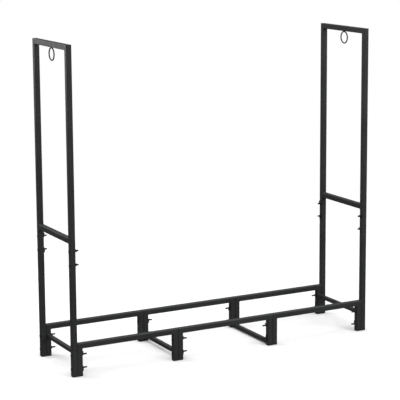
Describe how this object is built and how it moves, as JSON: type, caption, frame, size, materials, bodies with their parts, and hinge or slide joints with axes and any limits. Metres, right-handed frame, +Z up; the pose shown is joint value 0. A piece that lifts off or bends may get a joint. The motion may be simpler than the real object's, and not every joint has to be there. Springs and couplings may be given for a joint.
{
  "type": "firewood log rack",
  "caption": "Firewood log rack of black square steel tube: two upright end frames with tool rings on a low base of bolted leg and rail sections.",
  "frame": {"origin": "on the floor, at the middle of the rack's length and depth", "axes": "+X along the rack, -Y towards the front, +Z up"},
  "size_m": [1.2722, 0.319, 1.2],
  "materials": {
    "powder_coat": "satin black powder coat with a fine orange-peel grain",
    "ring_coat": "satin black powder coat on round wire",
    "hardware": "black-coated steel bolts and wing nuts",
    "foot_cap": "matte black moulded plastic caps in the open ends of the legs and lower posts"
  },
  "bodies": {
    "root": {"lower_post_left_front": "powder_coat", "upper_post_left_front": "powder_coat", "lower_post_left_back": "powder_coat", "upper_post_left_back": "powder_coat", "top_bar_left": "powder_coat", "middle_bar_left": "powder_coat", "tool_ring_left": "ring_coat", "lower_post_right_front": "powder_coat", "upper_post_right_front": "powder_coat", "lower_post_right_back": "powder_coat", "upper_post_right_back": "powder_coat", "top_bar_right": "powder_coat", "middle_bar_right": "powder_coat", "tool_ring_right": "ring_coat", "rail_1_front": "powder_coat", "leg_1_front_a": "powder_coat", "leg_1_front_b": "powder_coat", "rail_1_back": "powder_coat", "leg_1_back_a": "powder_coat", "leg_1_back_b": "powder_coat", "rail_2_front": "powder_coat", "leg_2_front_a": "powder_coat", "leg_2_front_b": "powder_coat", "rail_2_back": "powder_coat", "leg_2_back_a": "powder_coat", "leg_2_back_b": "powder_coat", "rail_3_front": "powder_coat", "leg_3_front_a": "powder_coat", "leg_3_front_b": "powder_coat", "rail_3_back": "powder_coat", "leg_3_back_a": "powder_coat", "leg_3_back_b": "powder_coat", "crossbar_1": "powder_coat", "crossbar_2": "powder_coat", "crossbar_3": "powder_coat", "crossbar_4": "powder_coat", "bolt_base_1_front_1": "hardware", "bolt_base_1_front_2": "hardware", "bolt_base_1_back_1": "hardware", "bolt_base_1_back_2": "hardware", "bolt_base_2_front_1": "hardware", "bolt_base_2_front_2": "hardware", "bolt_base_2_back_1": "hardware", "bolt_base_2_back_2": "hardware", "bolt_base_3_front_1": "hardware", "bolt_base_3_front_2": "hardware", "bolt_base_3_back_1": "hardware", "bolt_base_3_back_2": "hardware", "bolt_base_4_front_1": "hardware", "bolt_base_4_front_2": "hardware", "bolt_base_4_back_1": "hardware", "bolt_base_4_back_2": "hardware", "bolt_joint_left_front_1": "hardware", "bolt_joint_left_front_2": "hardware", "bolt_joint_left_back_1": "hardware", "bolt_joint_left_back_2": "hardware", "bolt_joint_right_front_1": "hardware", "bolt_joint_right_front_2": "hardware", "bolt_joint_right_back_1": "hardware", "bolt_joint_right_back_2": "hardware"}
  },
  "joints": []
}
